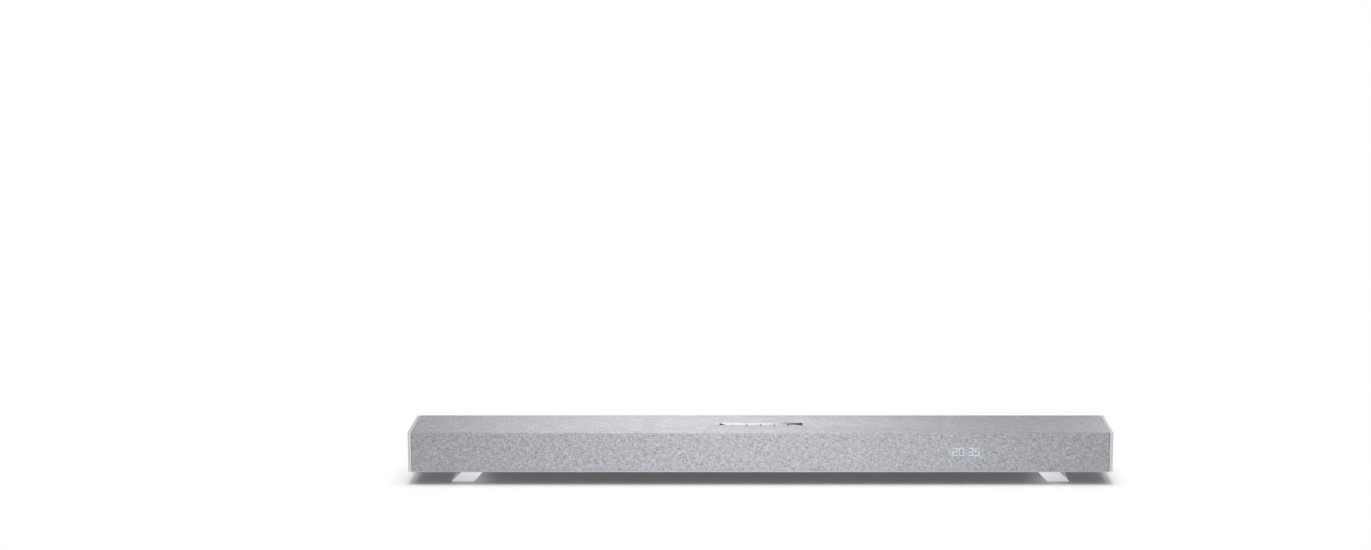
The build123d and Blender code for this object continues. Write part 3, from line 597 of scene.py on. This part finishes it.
def soft_key(name):
    """One key: sunk at the back, flush in front, with a faint dish and rounded edges."""
    node = name + "_key"
    low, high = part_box(node)
    key = add_block(name + "_cap", low, high)
    for vertex in key.data.vertices:
        if vertex.co.z > high.z - MM and vertex.co.y > (low.y + high.y) / 2:
            vertex.co.z -= KEY_DROP
    soften(key, 0.3 * MM, 4, angle=50)
    centre = Vector((low.x + high.x, low.y + high.y, 0)) / 2
    pick(key, "FACE",
         lambda middle, normal: normal.z > 0.9 and (middle - centre).xy.length < DISH_REACH)
    bpy.ops.mesh.inset(thickness=2.2 * MM, depth=0)
    bpy.ops.mesh.inset(thickness=1.4 * MM, depth=-0.15 * MM)
    leave()
    smooth_shading(key)
    mount(key, key_silver, "keys_plastic", node, body=node)


# ---------------------------------------------------------------- display

MARK_PROUD = 0.12 * MM
MARK_DEPTH = 0.15 * MM


def clock_marks():
    """The lit bars of the clock, where their light leaves the cloth."""
    source = nodes["display_digits"]
    deselect()
    marks = source.copy()
    marks.data = source.data.copy()
    marks.parent = None
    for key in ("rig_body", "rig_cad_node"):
        if key in marks:
            del marks[key]
    marks.name = "clock_marks"
    scene.collection.objects.link(marks)
    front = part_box("fabric_cover")[0].y
    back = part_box("display_digits")[1].y
    for vertex in marks.data.vertices:
        behind = vertex.co.y > back - 0.1 * MM
        vertex.co.y = front - MARK_PROUD + (MARK_DEPTH if behind else 0)
    pick(marks, "VERT", lambda co, normal: True)
    bpy.ops.mesh.remove_doubles(threshold=0.00001)
    leave()
    mount(marks, glow, "lit_digits", "display_digits")


# ---------------------------------------------------------------- stage

FLOOR_GLOW = 0.075
ROOM_LIGHT = 0.10

CAMERA_PLACE = (0, -3.5613, 0.9089)
CAMERA_TILT = 9.82          # degrees below level
CAMERA_LENS = 66.71
CAMERA_SHIFT = -0.0547

# Name, power, spread, lean to the front and to the side, in degrees
SUNS = (
    ("overhead_sun", 1.09, 12, 2, 0),
    ("left_sun", 0.34, 24, 4, -22),
    ("right_sun", 0.34, 24, 4, 22),
    ("broad_sun", 1.10, 84, 3, 0),
)

# Name, place, size, power, aim
LAMPS = (
    ("top_lamp", (-0.11, 0.06, 0.62), (0.32, 0.35), 4.55, (-0.08, 0, 0.07)),
    ("top_fill", (-0.2, 0.2, 2.2), (2.4, 1.2), 11.5, (0, 0, 0.05)),
    ("front_strip", (0.0, -0.74, 0.15), (0.34, 0.10), 3.60, (0, 0, 0.04)),
    ("glint_card", (-0.36, -1.32, 0.66), (0.82, 0.30), 0.74, (-0.05, 0, 0.07)),
    ("left_side", (-1.3, 0.25, 0.12), (0.5, 0.12), 2.9, (-0.45, 0, 0.01)),
    ("right_side", (1.3, 0.25, 0.12), (0.5, 0.12), 2.8, (0.45, 0, 0.01)),
    ("right_end", (0.60, -0.02, 0.19), (0.1, 0.1), 0.20, (0.49, -0.02, 0.0755)),
    ("far_card", (-0.36, 3.0, 0.80), (0.6, 0.2), 0.34, (-0.06, 0, 0.075)),
)


def make_floor():
    """A wide pale floor that glows a little."""
    deselect()
    bpy.ops.mesh.primitive_plane_add(size=80, location=(0, 0, 0))
    floor = bpy.context.object
    floor.name = "studio_floor"
    material, tree, shader = new_material("studio_floor")
    shader.inputs["Base Color"].default_value = (0.93, 0.93, 0.93, 1)
    shader.inputs["Roughness"].default_value = 0.9
    shader.inputs["Specular IOR Level"].default_value = 0.0
    shader.inputs["Emission Color"].default_value = (1, 1, 1, 1)
    shader.inputs["Emission Strength"].default_value = FLOOR_GLOW
    dress(floor, material)
    return floor


def make_lights(floor):
    """Suns that light only the floor, and soft lamps that light all but the floor."""
    only_floor = bpy.data.collections.new("lit_floor")
    only_floor.objects.link(floor)
    not_floor = bpy.data.collections.new("lit_bar")
    not_floor.objects.link(floor)
    not_floor.collection_objects[0].light_linking.link_state = "EXCLUDE"

    for name, power, spread, forward, sideways in SUNS:
        bpy.ops.object.light_add(type="SUN", location=(0, 0, 3))
        sun = bpy.context.object
        sun.name = name
        sun.data.energy = power
        sun.data.angle = math.radians(spread)
        sun.rotation_euler = (math.radians(-forward), math.radians(sideways), 0)
        sun.light_linking.receiver_collection = only_floor

    for name, spot, size, power, aim in LAMPS:
        bpy.ops.object.light_add(type="AREA", location=spot)
        lamp = bpy.context.object
        lamp.name = name
        lamp.data.shape = "RECTANGLE"
        lamp.data.size, lamp.data.size_y = size
        lamp.data.energy = power
        lamp.rotation_euler = (Vector(aim) - Vector(spot)).to_track_quat("-Z", "Y").to_euler()
        lamp.light_linking.receiver_collection = not_floor


def make_world():
    """A white background that gives only a dim light of its own."""
    world = bpy.data.worlds.new("studio")
    scene.world = world
    world.use_nodes = True
    tree = world.node_tree
    tree.nodes.clear()
    path = tree.nodes.new("ShaderNodeLightPath")
    seen = tree.nodes.new("ShaderNodeBackground")
    seen.inputs[0].default_value = (1, 1, 1, 1)
    seen.inputs[1].default_value = 1.0
    around = tree.nodes.new("ShaderNodeBackground")
    around.inputs[0].default_value = (0.97, 0.985, 1.0, 1)
    around.inputs[1].default_value = ROOM_LIGHT
    mixed = tree.nodes.new("ShaderNodeMixShader")
    out = tree.nodes.new("ShaderNodeOutputWorld")
    tree.links.new(path.outputs["Is Camera Ray"], mixed.inputs[0])
    tree.links.new(around.outputs[0], mixed.inputs[1])
    tree.links.new(seen.outputs[0], mixed.inputs[2])
    tree.links.new(mixed.outputs[0], out.inputs[0])


def make_camera():
    """A long lens well in front of the bar and a little above it."""
    data = bpy.data.cameras.new("studio_camera")
    camera = bpy.data.objects.new("studio_camera", data)
    scene.collection.objects.link(camera)
    camera.location = CAMERA_PLACE
    camera.rotation_euler = (math.radians(90 - CAMERA_TILT), 0, 0)
    data.sensor_width = 36
    data.lens = CAMERA_LENS
    data.shift_x = CAMERA_SHIFT
    data.clip_end = 100
    scene.camera = camera


scene.view_settings.view_transform = "Standard"
make_camera()
cloth_cover()
for side in (-1, 1):
    end_cap(side)
    sled_foot(side)
key_frame()
for key_name in KEYS:
    soft_key(key_name)
clock_marks()
make_lights(make_floor())
make_world()
